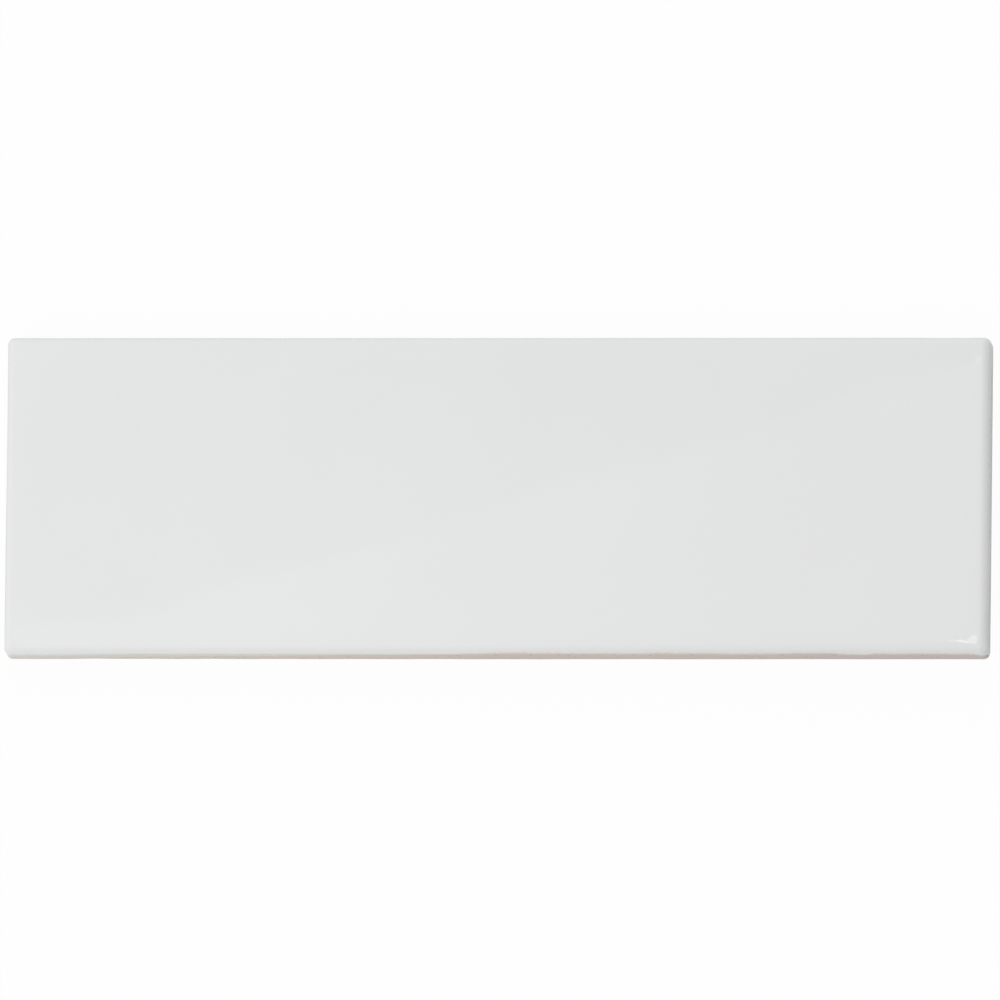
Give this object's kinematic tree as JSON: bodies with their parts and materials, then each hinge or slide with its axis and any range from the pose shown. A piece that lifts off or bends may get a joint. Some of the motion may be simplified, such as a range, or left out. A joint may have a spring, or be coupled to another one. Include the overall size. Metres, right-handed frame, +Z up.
{
  "type": "subway wall tile",
  "caption": "Long narrow glazed wall tile with a rolled face edge, wider at its glazed short end, a bare biscuit long edge and a keyed back.",
  "frame": {"origin": "middle of the bedding plane, the plane on which the rim and ribs of the back stand", "axes": "+X along the tile towards its glazed short end, +Y across the tile, +Z up out of the glazed face"},
  "size_m": [0.2, 0.065, 0.008],
  "materials": {
    "glazed_body": "gloss"
  },
  "bodies": {
    "root": {"tile": "glazed_body"}
  },
  "joints": []
}
